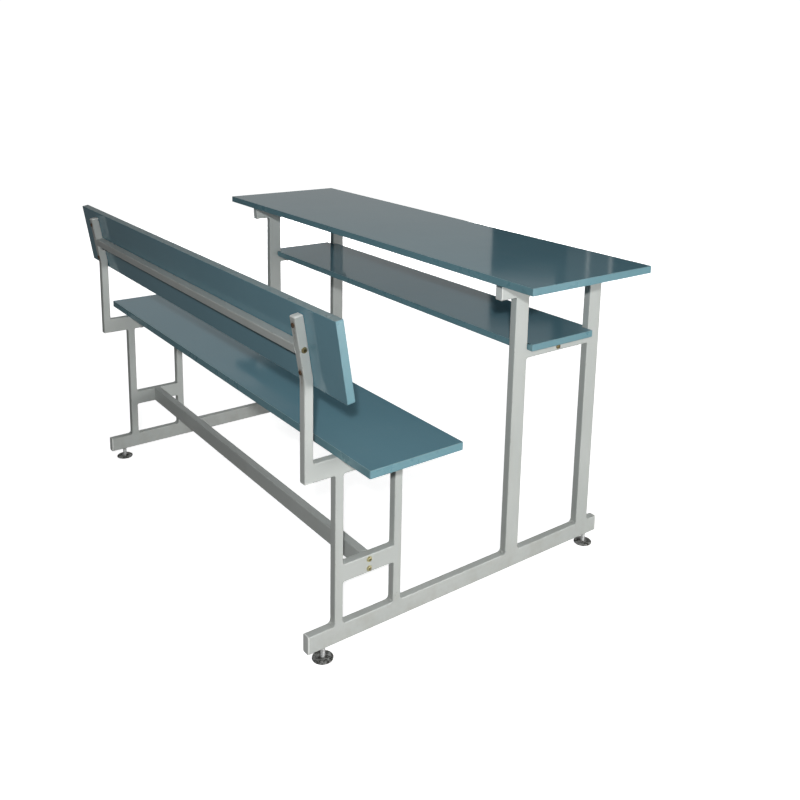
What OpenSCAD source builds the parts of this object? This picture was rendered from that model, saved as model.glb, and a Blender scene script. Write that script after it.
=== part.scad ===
// School desk and bench in one unit: two welded side frames of steel tube, joined by
// three cross tubes, carry a desk top, a book shelf, a bench seat and a backrest.
// X runs along the boards, +Y is the way a seated student faces, Z is up from the floor.

/* [Boards] */
// Length of the desk top, the seat and the backrest
board_len = 1400; // [1280:10:1600]
// Thickness of the desk top, the seat and the backrest
board_t = 17; // [15:1:20]
// Thickness of the book shelf
shelf_t = 16; // [15:1:20]
// Depth of the desk top, front to back
desk_depth = 387; // [376:1:400]
// Depth of the seat, front to back
seat_depth = 230; // [225:1:300]
// Depth of the book shelf, front to back
shelf_depth = 230; // [225:1:240]
// How far the shelf's side tabs reach past the side frames
shelf_tab = 15; // [5:1:25]
// Height of the backrest board along its slope
backrest_h = 165; // [150:1:170]
// Thickness of the plastic edge band
band_t = 1; // [0.5:0.1:2]
// Radius of the boards' corners
board_corner = 3; // [2.5:0.5:6]

/* [Frame tube] */
// Narrow side of the tube
tube = 20; // [20:1:22]
// Wide side of the rails and the desk legs
wide = 40; // [38:1:44]
// Wall thickness
wall = 1.4; // [1.2:0.1:1.6]
// Outer corner radius
corner = 2.5; // [2:0.5:3]
// Width over the outer faces of the two side frames
frame_w = 1170; // [1100:10:1200]
// Length of the foot rails over their end plugs
foot_rail_len = 860; // [856:1:900]

/* [Bench] */
// Height of the seat's top face above the floor
seat_h = 459; // [440:1:480]
// Seat's back edge, from the foot rails' back ends
seat_y = 67; // [62:1:70]
// Bench's back leg, from the foot rails' back ends
bench_leg_y = 64; // [62:1:68]
// Clear gap between the bench's two legs
bench_leg_gap = 128; // [120:1:134]
// Underside of the rail between the bench legs
mid_rail_z = 162; // [140:1:220]
// Seat rail's reach past the bench's front leg
seat_rail_reach = 45; // [45:1:60]

/* [Backrest] */
// How far the uprights stand behind the foot rails' back ends
upright_back = 7; // [4:1:9]
// Height of the bend in the uprights
bend_z = 615; // [610:1:620]
// Lean of the uprights above the bend, in degrees
lean = 9.5; // [8:0.5:12]
// Radius of the bend, on the tube's centre line
bend_r = 60; // [50:1:80]
// Length of the uprights above the bend
upright_top = 134; // [130:1:140]
// Backrest board's lower edge, from the bend down the slope
backrest_drop = 16; // [10:1:16]

/* [Desk] */
// Height of the desk top's top face above the floor
desk_h = 754; // [730:1:780]
// Desk top's back edge, from the foot rails' back ends
desk_y = 475; // [470:1:480]
// Desk's near leg, from the foot rails' back ends
desk_leg_y = 542; // [538:1:544]
// Clear gap between the desk's two legs
desk_leg_gap = 204; // [200:1:204]
// How far the top rails stop short of the desk top's edges
top_rail_inset = 20; // [15:1:24]
// Height of the book shelf's top face above the floor
shelf_h = 584; // [560:1:600]
// Book shelf's back edge, from the foot rails' back ends
shelf_y = 569; // [566:1:572]

/* [Feet] */
// Height of the foot rails above the floor
foot_gap = 28; // [26:1:32]
// Diameter of the foot pads
pad_d = 45; // [40:1:50]
// Diameter of the foot studs
stud_d = 10; // [8:1:10]
// Foot's centre line, from the near end of its rail
foot_in = 41; // [40:1:46]
// Foot's centre line at the desk end, from that end of its rail
foot_in_desk = 33; // [32:1:38]

/* [Hidden] */
$fn = 48;

right = 1;
left = -1;
e = 0.01;              // cuts run this far past a face
play = 0.1;            // clearance between a fastener and its hole

// Colours
steel_paint = "lightgray";
laminate = "cadetblue";
dark_zinc = "dimgray";
bright_zinc = "silver";
brass_zinc = "darkgoldenrod";
plug_grey = "gray";

// Heights
rail_top = foot_gap + wide;
seat_under = seat_h - board_t;
seat_rail_z = seat_under - wide;
desk_under = desk_h - board_t;
top_rail_z = desk_under - wide;
shelf_under = shelf_h - shelf_t;
shelf_rail_z = shelf_under - tube;

// Distances along Y from the foot rails' back ends
bench_front_y = bench_leg_y + tube + bench_leg_gap;
stretcher_y = bench_leg_y + tube + bench_leg_gap / 2;
far_leg_y = desk_leg_y + wide + desk_leg_gap;
shelf_beam_y = desk_leg_y + wide + desk_leg_gap / 2;
top_rail_y = desk_y + top_rail_inset;
top_rail_len = desk_depth - 2 * top_rail_inset;
upright_y = tube / 2 - upright_back;
seat_rail_y = upright_y + tube / 2;
seat_rail_len = bench_front_y + tube + seat_rail_reach - seat_rail_y;

// Side frames
frame_x = frame_w / 2 - tube / 2;     // centre plane of a side frame
inner_x = frame_w / 2 - tube;         // inner face of a side frame
beam_len = 2 * inner_x;

// Backrest, measured up the slope from the bend
arc_half = bend_r * tan(lean / 2);
draw_in = 0.4;         // the tube is this much slimmer in its bend
bend_lap = 1.5;        // degrees that the bend runs on inside the straight tube
cross_s = 64;
screw_s = [18, 116];

// The unit's middle, between the uprights' tops and the desk top's front edge
rear_y = upright_y - upright_top * sin(lean) - tube / 2 * cos(lean);
front_y = desk_y + desk_depth;
mid_y = (rear_y + front_y) / 2;

// End plugs
flange = 3;
flange_big = 4;
stem = 11;
plug_fit = 0.15;
top_bevel = 2;

// Fasteners
bolt_r = 4;            // frame bolts
bolt_head_r = 6.4;
bolt_head_h = 4;
bolt_crown_r = 3.6;    // flat crown of the domed head, round its hexagon socket
socket_af = 5;
socket_h = 2.4;
plate_t = 4;           // threaded plate in a cross tube's end
bolt_pitch = 21;       // between the two stretcher bolts
screw_r = 2.5;         // board screws
screw_head_r = 4.8;
screw_head_h = 2.8;
screw_bite = 11;       // depth of a screw in its board
nut_af = 16;           // foot's weld nut, across its flats
nut_h = 8;

// Foot
foot_ys = [foot_in, foot_rail_len - foot_in_desk];
pad_rim_h = 3;
pad_h = 5.5;
pad_hub_r = 9;
rim = 1;               // chamfer on the pad's rim
stud_top = foot_gap + wall + nut_h + 1;
stud_fit = 0.05;       // running clearance of the stud in its nut and in its pad
stud_seat = 2.5;       // depth of the pad's blind socket floor above the floor

// ---------- building blocks ----------

// Places a module drawn from the foot rails' back ends into the unit's frame.
module in_unit() { translate([0, -mid_y, 0]) children(); }

// Draws a right-hand piece on either side of the unit.
module on_side(side) { mirror([side < 0 ? 1 : 0, 0, 0]) in_unit() children(); }

module on_both() { for (side = [right, left]) on_side(side) children(); }

// Frame of an upright above its bend: Y is square to the backrest, Z runs up the slope.
module on_slope() { translate([0, upright_y, bend_z]) rotate([lean, 0, 0]) children(); }

module rounded(a, b, r) {
    square([a - 2 * r, b], center = true);
    square([a, b - 2 * r], center = true);
    for (x = [-1, 1], y = [-1, 1]) translate([x * (a / 2 - r), y * (b / 2 - r)]) circle(r);
}

// Wall section of a tube, a by b outside.
module tube_section(a, b) {
    difference() {
        rounded(a, b, corner);
        rounded(a - 2 * wall, b - 2 * wall, corner - wall + 0.2);
    }
}

// Tubes that run along Z, Y and X, from their lower, back or left end.
module tube_z(a, b, len) { linear_extrude(len) tube_section(a, b); }
module tube_y(a, b, len) { rotate([-90, 0, 0]) linear_extrude(len) tube_section(a, b); }
module tube_x(a, b, len) { rotate([90, 0, 90]) linear_extrude(len) tube_section(a, b); }

// End plug along Z: a flange the size of the tube on top of a stem that fits inside it.
module plug_z(a, b, flange_h) {
    in_a = a - 2 * wall - 2 * plug_fit;
    in_b = b - 2 * wall - 2 * plug_fit;
    linear_extrude(flange_h) rounded(a, b, corner);
    translate([0, 0, -stem]) difference() {
        linear_extrude(stem + e) rounded(in_a, in_b, corner - wall + 0.2);
        translate([0, 0, -e]) linear_extrude(stem) square([in_a - 5, in_b - 5], center = true);
    }
}

module hole_x(r, len) { rotate([0, 90, 0]) cylinder(h = len, r = r, center = true); }
module hole_z(r, len) { cylinder(h = len, r = r, center = true); }

// Button-head bolt along -X: its head's underside is at the origin.
module bolt_x(shank) {
    drop = (pow(bolt_head_r, 2) - pow(bolt_crown_r, 2) - pow(bolt_head_h, 2)) / 2 / bolt_head_h;
    rotate([0, 90, 0]) {
        difference() {
            intersection() {
                cylinder(h = bolt_head_h, r = 2 * bolt_head_r);
                translate([0, 0, -drop]) sphere(r = sqrt(pow(bolt_head_r, 2) + pow(drop, 2)));
            }
            translate([0, 0, bolt_head_h - socket_h])
                cylinder(h = socket_h + e, r = socket_af / 2 / cos(30), $fn = 6);
        }
        translate([0, 0, -shank]) cylinder(h = shank + e, r = bolt_r);
    }
}

// Pan-head screw along +Z: its head's underside is at the origin.
module screw_z(shank) {
    translate([0, 0, -screw_head_h]) cylinder(h = screw_head_h, r = screw_head_r);
    cylinder(h = shank, r = screw_r);
}

// Flat board outline from its back left corner, and a band all round it.
module outline(len, depth, r) { translate([0, depth / 2]) rounded(len, depth, r); }

module band(len, depth, t) {
    linear_extrude(t) difference() {
        outline(len, depth, board_corner);
        translate([0, band_t]) outline(len - 2 * band_t, depth - 2 * band_t, board_corner - band_t);
    }
}

module core(len, depth, t) {
    translate([0, band_t, 0]) linear_extrude(t)
        outline(len - 2 * band_t, depth - 2 * band_t, board_corner - band_t);
}

// ---------- side frames ----------

module foot_rail(side) color(steel_paint) on_side(side) difference() {
    translate([frame_x, flange_big, foot_gap + wide / 2])
        tube_y(tube, wide, foot_rail_len - 2 * flange_big);
    for (y = foot_ys) translate([frame_x, y, foot_gap]) hole_z(stud_d / 2 + 1, 4 * wall);
}

module leg(side, y, depth, z, top) color(steel_paint) on_side(side)
    translate([frame_x, y + depth / 2, z]) tube_z(tube, depth, top - z);

module bench_rear_leg(side) leg(side, bench_leg_y, tube, rail_top, seat_rail_z);
module bench_front_leg(side) leg(side, bench_front_y, tube, rail_top, seat_rail_z);
module desk_near_leg(side) leg(side, desk_leg_y, wide, rail_top, top_rail_z);
module desk_far_leg(side) leg(side, far_leg_y, wide, rail_top, top_rail_z);

module bench_mid_rail(side) color(steel_paint) on_side(side) difference() {
    translate([frame_x, bench_leg_y + tube, mid_rail_z + wide / 2])
        tube_y(tube, wide, bench_leg_gap);
    stretcher_bolt_places() hole_x(bolt_r + play, tube + 2);
}

module seat_rail(side) color(steel_paint) on_side(side) difference() {
    translate([frame_x, seat_rail_y, seat_rail_z + wide / 2])
        tube_y(tube, wide, seat_rail_len - flange);
    seat_screw_places() hole_z(screw_r + play, 3 * wide);
}

module back_upright(side) color(steel_paint) on_side(side) difference() {
    union() {
        translate([frame_x, upright_y, seat_rail_z + flange])
            tube_z(tube, tube, bend_z - arc_half - seat_rail_z - flange);
        translate([frame_x, upright_y - bend_r, bend_z - arc_half]) rotate([90, 0, 90])
            rotate(-bend_lap) rotate_extrude(angle = lean + 2 * bend_lap)
                translate([bend_r, 0]) tube_section(tube - draw_in, tube - draw_in);
        on_slope() translate([frame_x, 0, arc_half])
            tube_z(tube, tube, upright_top - flange - arc_half);
    }
    on_slope() translate([frame_x, 0, cross_s]) hole_x(bolt_r + play, tube + 2);
    on_slope() for (s = screw_s) translate([frame_x, 0, s])
        rotate([90, 0, 0]) hole_z(screw_r + play, tube + 2);
}

module shelf_rail(side) color(steel_paint) on_side(side) difference() {
    translate([frame_x, desk_leg_y + wide, shelf_rail_z + tube / 2])
        tube_y(tube, tube, desk_leg_gap);
    translate([frame_x, shelf_beam_y, shelf_rail_z + tube / 2]) hole_x(bolt_r + play, tube + 2);
    shelf_screw_places() hole_z(screw_r + play, 3 * tube);
}

module top_rail(side) color(steel_paint) on_side(side) difference() {
    translate([frame_x, top_rail_y + flange, top_rail_z + wide / 2])
        tube_y(tube, wide, top_rail_len - 2 * flange);
    desk_screw_places() hole_z(screw_r + play, 3 * wide);
}

// ---------- cross tubes ----------

module bench_stretcher() color(steel_paint) in_unit()
    translate([-inner_x, stretcher_y, mid_rail_z + wide / 2]) tube_x(tube, wide, beam_len);

module backrest_cross_tube() color(steel_paint) in_unit() on_slope()
    translate([-inner_x, 0, cross_s]) tube_x(tube, tube, beam_len);

module shelf_beam() color(steel_paint) in_unit()
    translate([-inner_x, shelf_beam_y, shelf_rail_z + tube / 2]) tube_x(tube, tube, beam_len);

// ---------- boards ----------

module desk_top() color(laminate) difference() {
    in_unit() translate([0, desk_y, desk_under]) core(board_len, desk_depth, board_t);
    on_both() desk_screw_places() hole_z(screw_r + play, 2 * (wide + screw_bite));
}

module desk_top_edge_band() color(laminate) in_unit()
    translate([0, desk_y, desk_under]) band(board_len, desk_depth, board_t);

module seat_board() color(laminate) difference() {
    in_unit() translate([0, seat_y, seat_under]) core(board_len, seat_depth, board_t);
    on_both() seat_screw_places() hole_z(screw_r + play, 2 * (wide + screw_bite));
}

module seat_edge_band() color(laminate) in_unit()
    translate([0, seat_y, seat_under]) band(board_len, seat_depth, board_t);

// The backrest lies on the uprights' front faces.
module on_backrest() {
    in_unit() on_slope() translate([0, tube / 2 + board_t, -backrest_drop]) rotate([90, 0, 0])
        children();
}

module backrest_board() color(laminate) difference() {
    on_backrest() core(board_len, backrest_h, board_t);
    on_both() on_slope() for (s = screw_s) translate([frame_x, tube / 2, s])
        rotate([90, 0, 0]) hole_z(screw_r + play, 2 * screw_bite);
}

module backrest_edge_band() color(laminate) on_backrest() band(board_len, backrest_h, board_t);

// Outline of the shelf: a strip between the legs, with tabs that lie on the shelf rails.
module shelf_outline(trim) {
    gap = 1 + trim;
    strip_w = 2 * (inner_x - gap);
    tab_w = frame_w + 2 * shelf_tab - 2 * trim;
    translate([-strip_w / 2, shelf_y + trim]) square([strip_w, shelf_depth - 2 * trim]);
    translate([-tab_w / 2, desk_leg_y + wide + gap]) square([tab_w, desk_leg_gap - 2 * gap]);
}

module book_shelf() color(laminate) difference() {
    in_unit() translate([0, 0, shelf_under]) linear_extrude(shelf_t) shelf_outline(band_t);
    on_both() shelf_screw_places() hole_z(screw_r + play, 2 * (tube + screw_bite));
}

module shelf_edge_band() color(laminate) in_unit() translate([0, 0, shelf_under])
    linear_extrude(shelf_t) difference() {
        shelf_outline(0);
        shelf_outline(band_t);
    }

// ---------- end plugs ----------

module foot_rail_end_plugs() color(plug_grey) on_both() {
    translate([frame_x, flange_big, foot_gap + wide / 2]) rotate([90, 0, 0])
        plug_z(tube, wide, flange_big);
    translate([frame_x, foot_rail_len - flange_big, foot_gap + wide / 2]) rotate([-90, 0, 0])
        plug_z(tube, wide, flange_big);
}

module top_rail_end_plugs() color(plug_grey) on_both() {
    translate([frame_x, top_rail_y + flange, top_rail_z + wide / 2]) rotate([90, 0, 0])
        plug_z(tube, wide, flange);
    translate([frame_x, top_rail_y + top_rail_len - flange, top_rail_z + wide / 2])
        rotate([-90, 0, 0]) plug_z(tube, wide, flange);
}

module seat_rail_end_plugs() color(plug_grey) on_both()
    translate([frame_x, seat_rail_y + seat_rail_len - flange, seat_rail_z + wide / 2])
        rotate([-90, 0, 0]) plug_z(tube, wide, flange);

// The top cap's upper edges are bevelled on all four sides.
module upright_top_caps() color(plug_grey) on_both() on_slope()
    translate([frame_x, 0, upright_top - flange]) difference() {
        plug_z(tube, tube, flange);
        for (a = [0 : 90 : 270]) rotate(a) translate([tube / 2 - top_bevel, 0, flange])
            rotate([0, 45, 0]) translate([0, -tube, 0]) cube([tube, 2 * tube, tube]);
    }

module upright_bottom_plugs() color(plug_grey) on_both()
    translate([frame_x, upright_y, seat_rail_z + flange]) mirror([0, 0, 1])
        plug_z(tube, tube, flange);

// ---------- fasteners ----------

module stretcher_bolt_places() {
    for (dz = [-bolt_pitch / 2, bolt_pitch / 2])
        translate([frame_x, stretcher_y, mid_rail_z + wide / 2 + dz]) children();
}

module seat_screw_places() {
    for (y = [bench_leg_y + tube + 24, bench_front_y - 24])
        translate([frame_x, y, seat_rail_z]) children();
}

module desk_screw_places() {
    for (y = [desk_leg_y + wide + 30, far_leg_y - 30])
        translate([frame_x, y, top_rail_z]) children();
}

module shelf_screw_places() {
    for (y = [desk_leg_y + wide + 30, far_leg_y - 30])
        translate([frame_x, y, shelf_rail_z]) children();
}

// A threaded plate closes each end of a cross tube and takes its bolts.
module end_plate(b) {
    side_fit = 2 * (wall + plug_fit);
    rotate([90, 0, -90]) linear_extrude(plate_t) rounded(tube - side_fit, b - side_fit, 1.2);
}

module stretcher_bolts() color(brass_zinc) on_both() stretcher_bolt_places()
    translate([tube / 2, 0, 0]) bolt_x(tube + plate_t + 6);

module stretcher_end_plates() color(dark_zinc) on_both() difference() {
    translate([inner_x, stretcher_y, mid_rail_z + wide / 2]) end_plate(wide);
    stretcher_bolt_places() hole_x(bolt_r + play, 2 * tube);
}

module cross_tube_bolts() color(brass_zinc) on_both() on_slope()
    translate([frame_x + tube / 2, 0, cross_s]) bolt_x(tube + plate_t + 6);

module cross_tube_end_plates() color(dark_zinc) on_both() on_slope() difference() {
    translate([inner_x, 0, cross_s]) end_plate(tube);
    translate([frame_x, 0, cross_s]) hole_x(bolt_r + play, 2 * tube);
}

module shelf_beam_bolts() color(brass_zinc) on_both()
    translate([frame_x + tube / 2, shelf_beam_y, shelf_rail_z + tube / 2])
        bolt_x(tube + plate_t + 6);

module shelf_beam_end_plates() color(dark_zinc) on_both() difference() {
    translate([inner_x, shelf_beam_y, shelf_rail_z + tube / 2]) end_plate(tube);
    translate([frame_x, shelf_beam_y, shelf_rail_z + tube / 2]) hole_x(bolt_r + play, 2 * tube);
}

module backrest_screws() color(brass_zinc) on_both() on_slope()
    for (s = screw_s) translate([frame_x, -tube / 2, s])
        rotate([-90, 0, 0]) screw_z(tube + screw_bite - 1);

module seat_screws() color(bright_zinc) on_both()
    seat_screw_places() screw_z(wide + screw_bite - 1);

module desk_top_screws() color(bright_zinc) on_both()
    desk_screw_places() screw_z(wide + screw_bite - 1);

module shelf_screws() color(bright_zinc) on_both()
    shelf_screw_places() screw_z(tube + screw_bite - 1);

// ---------- levelling feet ----------

// The nuts are welded inside the foot rails, over the holes for the studs.
module foot_weld_nuts() color(bright_zinc) on_both()
    for (y = foot_ys) translate([frame_x, y, foot_gap + wall]) difference() {
        rotate(30) cylinder(h = nut_h, r = nut_af / 2 / cos(30), $fn = 6);
        translate([0, 0, nut_h / 2]) hole_z(stud_d / 2, nut_h + 2 * e);
    }

module at_foot(side, y) on_side(side) translate([frame_x, y, 0]) children();

// Low cone with a chamfered rim and a socket for the end of the stud.
module foot_pad(side, y) color(dark_zinc) at_foot(side, y) rotate_extrude($fn = 96)
    difference() {
        polygon([[0, 0], [pad_d / 2 - rim, 0], [pad_d / 2, rim], [pad_d / 2, pad_rim_h - rim],
            [pad_d / 2 - rim, pad_rim_h], [pad_hub_r, pad_h], [0, pad_h]]);
        translate([0, stud_seat]) square([stud_d / 2, pad_h]);
    }

module foot_stud(side, y) color(bright_zinc) at_foot(side, y)
    translate([0, 0, stud_seat + stud_fit])
        cylinder(h = stud_top - stud_seat - stud_fit, r = stud_d / 2 - stud_fit);

// ---------- nodes ----------

foot_rail(right);  // right_foot_rail
foot_rail(left);  // left_foot_rail
bench_rear_leg(right);  // right_bench_rear_leg
bench_rear_leg(left);  // left_bench_rear_leg
bench_front_leg(right);  // right_bench_front_leg
bench_front_leg(left);  // left_bench_front_leg
bench_mid_rail(right);  // right_bench_mid_rail
bench_mid_rail(left);  // left_bench_mid_rail
seat_rail(right);  // right_seat_rail
seat_rail(left);  // left_seat_rail
back_upright(right);  // right_back_upright
back_upright(left);  // left_back_upright
desk_near_leg(right);  // right_desk_near_leg
desk_near_leg(left);  // left_desk_near_leg
desk_far_leg(right);  // right_desk_far_leg
desk_far_leg(left);  // left_desk_far_leg
shelf_rail(right);  // right_shelf_rail
shelf_rail(left);  // left_shelf_rail
top_rail(right);  // right_top_rail
top_rail(left);  // left_top_rail
bench_stretcher();
backrest_cross_tube();
shelf_beam();
desk_top();
desk_top_edge_band();
seat_board();
seat_edge_band();
backrest_board();
backrest_edge_band();
book_shelf();
shelf_edge_band();
foot_rail_end_plugs();
top_rail_end_plugs();
seat_rail_end_plugs();
upright_top_caps();
upright_bottom_plugs();
stretcher_bolts();
stretcher_end_plates();
cross_tube_bolts();
cross_tube_end_plates();
shelf_beam_bolts();
shelf_beam_end_plates();
backrest_screws();
seat_screws();
desk_top_screws();
shelf_screws();
foot_weld_nuts();
foot_pad(right, foot_ys[0]);  // right_rear_foot_pad
foot_stud(right, foot_ys[0]);  // right_rear_foot_stud
foot_pad(left, foot_ys[0]);  // left_rear_foot_pad
foot_stud(left, foot_ys[0]);  // left_rear_foot_stud
foot_pad(right, foot_ys[1]);  // right_front_foot_pad
foot_stud(right, foot_ys[1]);  // right_front_foot_stud
foot_pad(left, foot_ys[1]);  // left_front_foot_pad
foot_stud(left, foot_ys[1]);  // left_front_foot_stud
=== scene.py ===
import math
import random

import bmesh
import bpy
from mathutils import Matrix, Vector


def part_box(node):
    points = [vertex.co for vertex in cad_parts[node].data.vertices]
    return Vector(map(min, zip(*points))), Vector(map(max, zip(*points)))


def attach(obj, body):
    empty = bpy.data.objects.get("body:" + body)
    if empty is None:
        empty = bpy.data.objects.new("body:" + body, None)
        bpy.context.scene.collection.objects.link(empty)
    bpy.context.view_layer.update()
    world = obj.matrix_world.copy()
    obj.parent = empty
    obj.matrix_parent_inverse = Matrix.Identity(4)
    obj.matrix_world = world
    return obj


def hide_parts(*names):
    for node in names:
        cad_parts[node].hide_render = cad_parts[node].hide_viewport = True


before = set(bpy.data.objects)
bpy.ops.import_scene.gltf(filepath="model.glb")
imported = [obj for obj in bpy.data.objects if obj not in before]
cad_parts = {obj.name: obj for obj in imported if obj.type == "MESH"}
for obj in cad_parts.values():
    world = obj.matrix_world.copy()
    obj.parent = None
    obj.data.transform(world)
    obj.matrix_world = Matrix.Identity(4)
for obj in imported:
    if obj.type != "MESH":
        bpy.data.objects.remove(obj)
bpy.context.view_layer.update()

MM = 0.001
SIDES = (("right", 1), ("left", -1))

# Frame tube
TUBE = 20 * MM            # width of every tube across its side frame
CORNER = 2.5 * MM         # outer corner radius
WALL = 1.4 * MM
INNER_CORNER = CORNER - WALL + 0.2 * MM
FRAME_X = 0.575           # centre plane of a side frame
OUT_X = FRAME_X + TUBE / 2  # its outer face

# Back uprights. Heights on them are measured along the slope, from the bend.
LEAN = math.radians(9.5)  # of the uprights above their bend
BEND_R = 60 * MM
UPRIGHT_TOP = 134 * MM    # top of the cap
CAP = 3 * MM              # thickness of a cap or bottom plug
BACKREST_FOOT = -16 * MM  # the backrest's lower edge
SCREW_S = (18 * MM, 116 * MM)  # backrest screws
CROSS_S = 64 * MM         # middle of the cross tube

# Boards and plugs
BACKREST_HIGH = 165 * MM
BACKREST_THICK = 17 * MM
BAND = 1 * MM             # thickness of an edge band
BOARD_CORNER = 3 * MM
FOOT_FLANGE = 4 * MM      # thickness of a foot rail plug's flange
RAIL_FLANGE = 3 * MM      # the same on the top and seat rails

# Fasteners
SHANK = 30 * MM           # bolts and backrest screws, under the head
BOLT_SPREAD = 10.5 * MM   # a stretcher bolt above or below the stretcher's middle
PAN_HEAD_R = 4.8 * MM
PITCH = 1.5 * MM          # thread of the feet
STUD_ROOT = 4.15 * MM     # its root radius

plug_lo, plug_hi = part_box("upright_bottom_plugs")
UPRIGHT_Y = (plug_lo.y + plug_hi.y) / 2
BEND_Z = 0.615            # height of the bend in the upright
SLOPE = Matrix.Translation((0, UPRIGHT_Y, BEND_Z)) @ Matrix.Rotation(LEAN, 4, "X")


# ---------- node materials ----------

class Paint:
    """Builds one node material. Most methods add a node and return its output socket."""

    def __init__(self, name, **constants):
        self.mat = bpy.data.materials.new(name)
        self.mat.use_nodes = True
        self.tree = self.mat.node_tree
        self.tree.nodes.clear()
        self.out = self.node("ShaderNodeOutputMaterial")
        self.shader = self.node("ShaderNodeBsdfPrincipled")
        self.link(self.shader.outputs[0], self.out.inputs["Surface"])
        self.coords = self.node("ShaderNodeTexCoord")
        self.place = self.coords.outputs["Object"]
        for key, value in constants.items():
            self.shader.inputs[key.replace("_", " ")].default_value = value

    def node(self, kind, **settings):
        made = self.tree.nodes.new(kind)
        for key, value in settings.items():
            setattr(made, key, value)
        return made

    def link(self, a, b):
        self.tree.links.new(a, b)

    def put(self, socket, value):
        if isinstance(value, bpy.types.NodeSocket):
            self.link(value, socket)
        else:
            socket.default_value = value

    def stretched(self, scale, where=None):
        made = self.node("ShaderNodeMapping")
        self.link(where or self.place, made.inputs["Vector"])
        made.inputs["Scale"].default_value = scale
        return made.outputs[0]

    def noise(self, scale, detail=3.0, rough=0.5, stretch=None, distort=0.0):
        made = self.node("ShaderNodeTexNoise")
        source = self.stretched(stretch) if stretch else self.place
        self.link(source, made.inputs["Vector"])
        made.inputs["Scale"].default_value = scale
        made.inputs["Detail"].default_value = detail
        made.inputs["Roughness"].default_value = rough
        made.inputs["Distortion"].default_value = distort
        return made.outputs[0]

    def span(self, value, a, b, lo=0.0, hi=1.0):
        """Maps a to lo and b to hi, clamped."""
        made = self.node("ShaderNodeMapRange")
        made.clamp = True
        self.put(made.inputs["Value"], value)
        for key, number in (("From Min", a), ("From Max", b), ("To Min", lo), ("To Max", hi)):
            made.inputs[key].default_value = number
        return made.outputs[0]

    def math(self, kind, a, b=0.0):
        made = self.node("ShaderNodeMath", operation=kind)
        self.put(made.inputs[0], a)
        self.put(made.inputs[1], b)
        return made.outputs[0]

    def times(self, a, b):
        return self.math("MULTIPLY", a, b)

    def blend(self, factor, a, b):
        made = self.node("ShaderNodeMix", data_type="RGBA")
        self.put(made.inputs[0], factor)
        for socket, value in ((made.inputs[6], a), (made.inputs[7], b)):
            self.put(socket, value if isinstance(value, bpy.types.NodeSocket) else (*value, 1.0))
        return made.outputs[2]

    def axes(self, vector):
        made = self.node("ShaderNodeSeparateXYZ")
        self.link(vector, made.inputs[0])
        return made.outputs

    def edge_mask(self):
        """1 on the rounded corners of a square tube, 0 on its flat faces."""
        normal = self.axes(self.coords.outputs["Normal"])
        most = self.math("MAXIMUM", self.math("ABSOLUTE", normal[0]), self.math("ABSOLUTE", normal[1]))
        most = self.math("MAXIMUM", most, self.math("ABSOLUTE", normal[2]))
        return self.span(most, 0.97, 0.80)

    def bump(self, height, distance, strength=1.0, under=None):
        made = self.node("ShaderNodeBump")
        made.inputs["Strength"].default_value = strength
        made.inputs["Distance"].default_value = distance
        self.link(height, made.inputs["Height"])
        if under is not None:
            self.link(under, made.inputs["Normal"])
        return made.outputs[0]

    def finish(self, colour=None, rough=None, normal=None, metal=None):
        wanted = {"Base Color": colour, "Roughness": rough, "Normal": normal, "Metallic": metal}
        for key, value in wanted.items():
            if value is not None:
                self.link(value, self.shader.inputs[key])
        return self.mat


def enamel(name, rusty=False):
    """Light grey baked enamel on tube: faint orange peel, handling marks and thin grime, and
    where rusty, the stains round the backrest screws."""
    p = Paint(name, Specular_IOR_Level=0.5, Coat_Weight=0.15, Coat_Roughness=0.2)
    cloud = p.span(p.noise(5.0, 4), 0.35, 0.65)
    colour = p.blend(cloud, (0.515, 0.545, 0.528), (0.560, 0.585, 0.568))
    streak = p.span(p.noise(14.0, 5, 0.6, (1, 1, 0.18)), 0.52, 0.75, 0.0, 0.35)
    colour = p.blend(streak, colour, (0.470, 0.480, 0.440))
    low = p.span(p.axes(p.place)[2], 0.16, 0.02, 0.0, 0.30)
    dust = p.times(low, p.span(p.noise(30.0, 6, 0.65), 0.42, 0.72))
    colour = p.blend(dust, colour, (0.330, 0.310, 0.260))
    speck = p.span(p.noise(230.0, 2, 0.5), 0.70, 0.76, 0.0, 0.5)
    colour = p.blend(p.times(speck, p.span(p.noise(9.0, 3), 0.5, 0.6)), colour, (0.22, 0.20, 0.17))
    worn = p.times(p.edge_mask(), p.span(p.noise(38.0, 5, 0.7), 0.56, 0.66))
    colour = p.blend(p.times(worn, 0.55), colour, (0.300, 0.290, 0.260))
    if rusty:
        colour = p.blend(rust_mask(p), colour, (0.150, 0.075, 0.030))
    rough = p.span(p.noise(22.0, 5, 0.6), 0.3, 0.7, 0.30, 0.46)
    peel = p.bump(p.noise(620.0, 2, 0.5), 0.00006, 0.8)
    ripple = p.bump(p.noise(24.0, 2, 0.5), 0.00035, 0.5, peel)
    return p.finish(colour, rough, ripple)


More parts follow.
